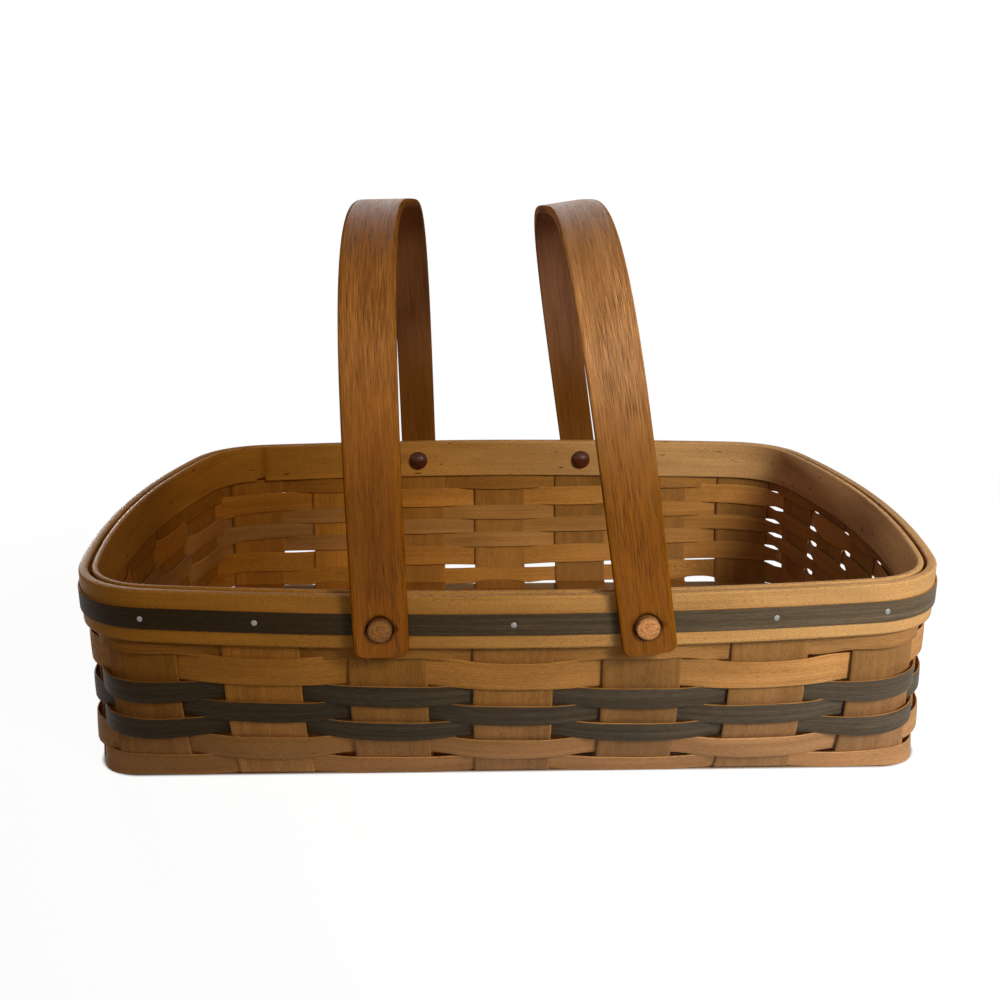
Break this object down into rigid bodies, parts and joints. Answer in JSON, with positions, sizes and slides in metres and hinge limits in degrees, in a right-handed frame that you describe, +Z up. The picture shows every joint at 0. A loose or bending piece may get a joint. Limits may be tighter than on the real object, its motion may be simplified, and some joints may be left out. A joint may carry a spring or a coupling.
{
  "type": "woven wood basket",
  "caption": "Rectangular basket woven from flat wood splints, with bentwood rim bands, dark stained rows and arched swing handles pivoting on wooden pegs; carries and stores household goods.",
  "frame": {"origin": "on the ground, under the middle of the basket", "axes": "+X along the basket's length, +Z up; the front wall faces -Y"},
  "size_m": [0.4608, 0.3462, 0.2815],
  "materials": {
    "natural_wood": "oiled honey-brown splint",
    "stained_wood": "dark grey-green stain",
    "band_wood": "satin varnished bentwood",
    "handle_wood": "satin oiled oak-like wood",
    "peg_wood": "dark satin turned wood",
    "tack_steel": "dull bright steel"
  },
  "bodies": {
    "basket": {"cross_splint_1": "natural_wood", "cross_splint_2": "natural_wood", "cross_splint_3": "natural_wood", "cross_splint_4": "natural_wood", "cross_splint_5": "natural_wood", "cross_splint_6": "natural_wood", "cross_splint_7": "natural_wood", "long_splint_1": "natural_wood", "long_splint_2": "natural_wood", "long_splint_3": "natural_wood", "long_splint_4": "natural_wood", "long_splint_5": "natural_wood", "weaver_row_1": "natural_wood", "weaver_row_2": "natural_wood", "weaver_row_3": "stained_wood", "weaver_row_4": "stained_wood", "weaver_row_5": "stained_wood", "weaver_row_6": "natural_wood", "weaver_row_7": "natural_wood", "inner_band": "band_wood", "outer_band": "band_wood", "front_trim": "stained_wood", "right_trim": "stained_wood", "back_trim": "stained_wood", "left_trim": "stained_wood", "tack_1": "tack_steel", "tack_2": "tack_steel", "tack_3": "tack_steel", "tack_4": "tack_steel", "tack_5": "tack_steel", "tack_6": "tack_steel", "tack_7": "tack_steel", "tack_8": "tack_steel", "tack_9": "tack_steel", "tack_10": "tack_steel", "tack_11": "tack_steel", "tack_12": "tack_steel", "tack_13": "tack_steel", "tack_14": "tack_steel", "tack_15": "tack_steel", "tack_16": "tack_steel"},
    "left_handle": {"left_handle": "handle_wood", "left_back_peg": "peg_wood", "left_front_peg": "peg_wood"},
    "right_handle": {"right_handle": "handle_wood", "right_back_peg": "peg_wood", "right_front_peg": "peg_wood"}
  },
  "joints": [
    {"name": "left_handle_swing", "type": "hinge", "parent": "basket", "child": "left_handle", "pos_m": [-0.06118, 0, 0.09233], "axis": [0, 1, 0], "range_deg": [-112, 14.8]},
    {"name": "right_handle_swing", "type": "hinge", "parent": "basket", "child": "right_handle", "pos_m": [0.06118, 0, 0.09233], "axis": [0, 1, 0], "range_deg": [-5.8, 121]}
  ]
}
